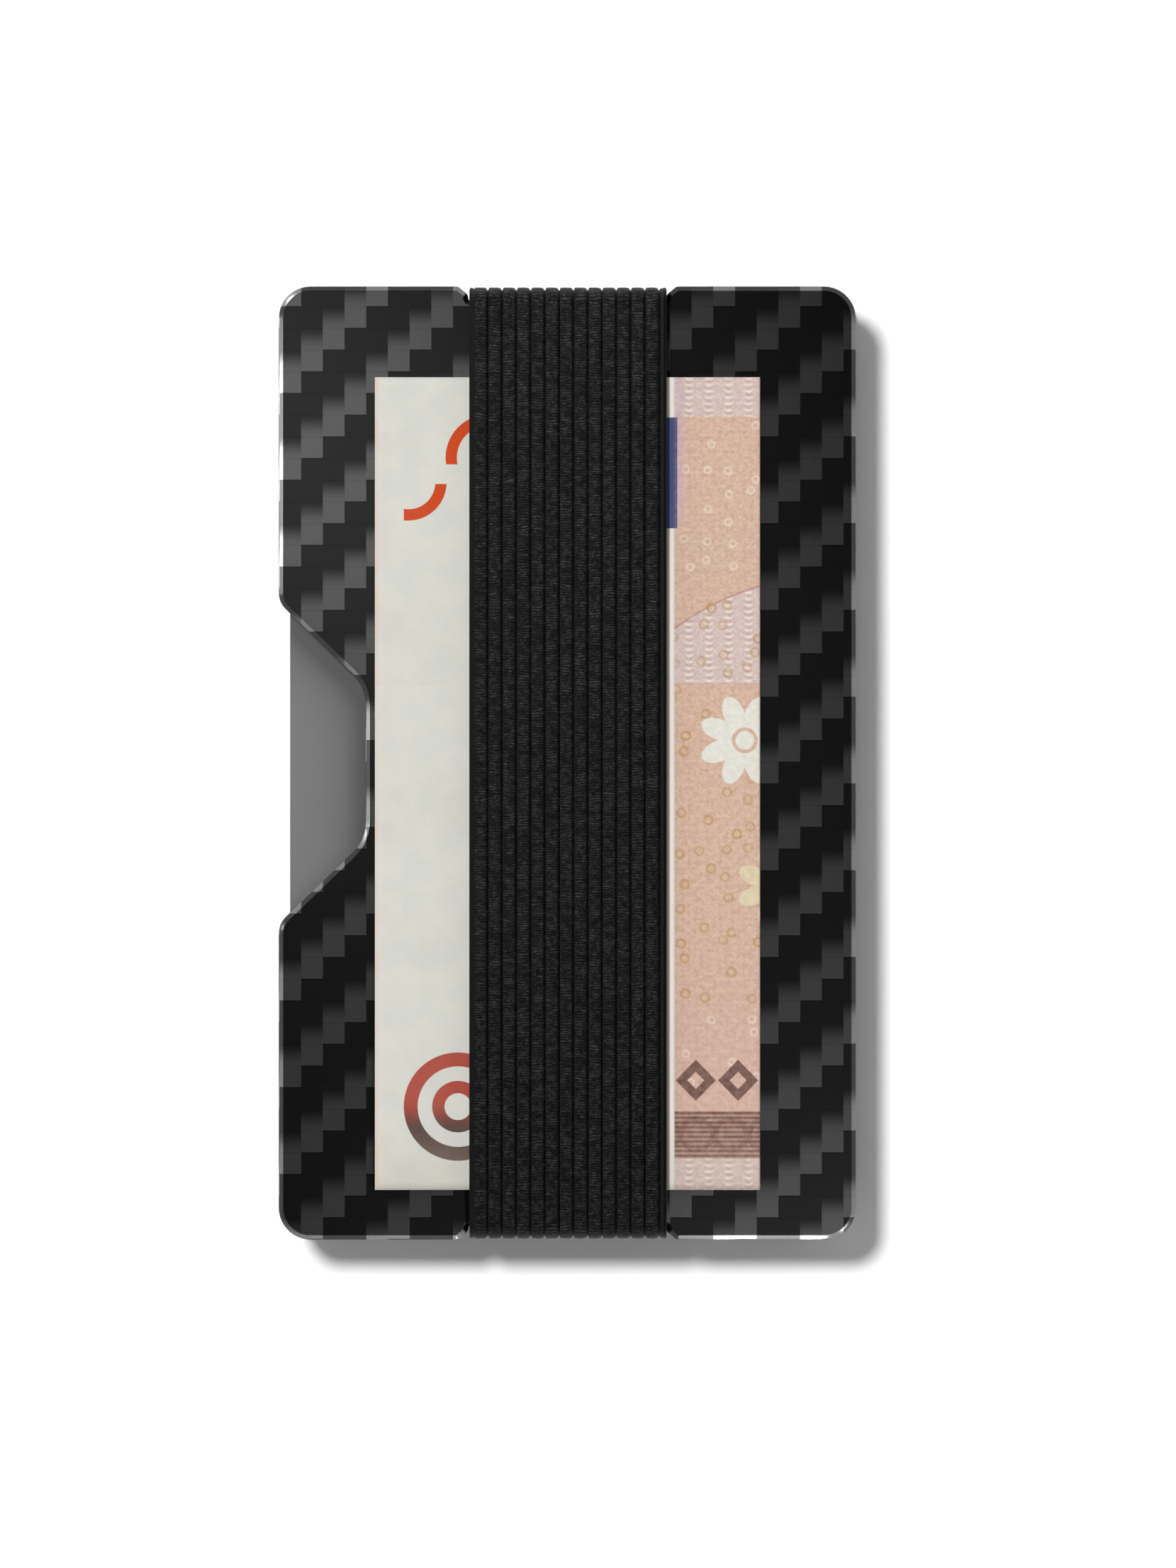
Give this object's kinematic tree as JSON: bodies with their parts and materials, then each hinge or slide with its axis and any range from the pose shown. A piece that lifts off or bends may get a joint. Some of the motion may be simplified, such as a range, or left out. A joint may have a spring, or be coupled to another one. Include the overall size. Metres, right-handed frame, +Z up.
{
  "type": "minimalist wallet",
  "caption": "Card wallet of two stiff laminate shells held round a stack of cards by an elastic loop, with a wide knitted cash band holding a folded banknote.",
  "frame": {"origin": "centre of the wallet's outline, on the plane of the cash band's underside that it lies on", "axes": "+Z up through the thickness towards the banknote side, +Y along the long sides, +X towards the side that the cards leave by, opposite the thumb notch"},
  "size_m": [0.056, 0.0926, 0.0133],
  "materials": {
    "carbon_laminate": "2/2 twill carbon laminate under clear resin, polished bevel",
    "black_anodised_aluminium": "bead-blasted, black anodised",
    "brass": "turned",
    "steel": "plain",
    "ribbed_elastic": "knitted, ribbed lengthwise",
    "woven_elastic": "plain woven",
    "thread": "bonded nylon",
    "card_sand": "satin",
    "card_blue": "satin",
    "card_green": "satin",
    "card_charcoal": "satin",
    "card_grey": "satin",
    "chip_contact": "gold plated",
    "note_paper": "printed"
  },
  "bodies": {
    "rear_shell": {"rear_plate": "carbon_laminate", "rear_track_plate": "black_anodised_aluminium", "rear_inserts": "brass", "rear_screws": "steel", "cash_band": "ribbed_elastic", "band_seam_thread": "thread", "card_elastic": "woven_elastic", "elastic_seam_thread": "thread"},
    "front_shell": {"front_plate": "carbon_laminate", "front_track_plate": "black_anodised_aluminium", "front_inserts": "brass", "front_screws": "steel"},
    "card_1": {"card_1": "card_sand"},
    "card_2": {"card_2": "card_blue", "card_2_chip": "chip_contact"},
    "card_3": {"card_3": "card_green"},
    "card_4": {"card_4": "card_charcoal", "card_4_chip": "chip_contact"},
    "card_5": {"card_5": "card_grey", "card_5_chip": "chip_contact"},
    "banknote": {"banknote": "note_paper"}
  },
  "joints": [
    {"name": "shell_spread", "type": "slide", "parent": "rear_shell", "child": "front_shell", "axis": [0, 0, 1], "range_m": [0, 0.0053], "stiffness_N_per_m": 300, "springref_m": -0.01, "deforming": ["cash_band", "card_elastic"]},
    {"name": "card_1_slide", "type": "slide", "parent": "rear_shell", "child": "card_1", "axis": [1, 0, 0], "range_m": [0, 0.056]},
    {"name": "card_2_slide", "type": "slide", "parent": "rear_shell", "child": "card_2", "axis": [1, 0, 0], "range_m": [0, 0.056]},
    {"name": "card_3_slide", "type": "slide", "parent": "rear_shell", "child": "card_3", "axis": [1, 0, 0], "range_m": [0, 0.056]},
    {"name": "card_4_slide", "type": "slide", "parent": "rear_shell", "child": "card_4", "axis": [1, 0, 0], "range_m": [0, 0.056]},
    {"name": "card_5_slide", "type": "slide", "parent": "rear_shell", "child": "card_5", "axis": [1, 0, 0], "range_m": [0, 0.056]},
    {"name": "banknote_slide", "type": "slide", "parent": "front_shell", "child": "banknote", "axis": [1, 0, 0], "range_m": [-0.029, 0.029]}
  ]
}
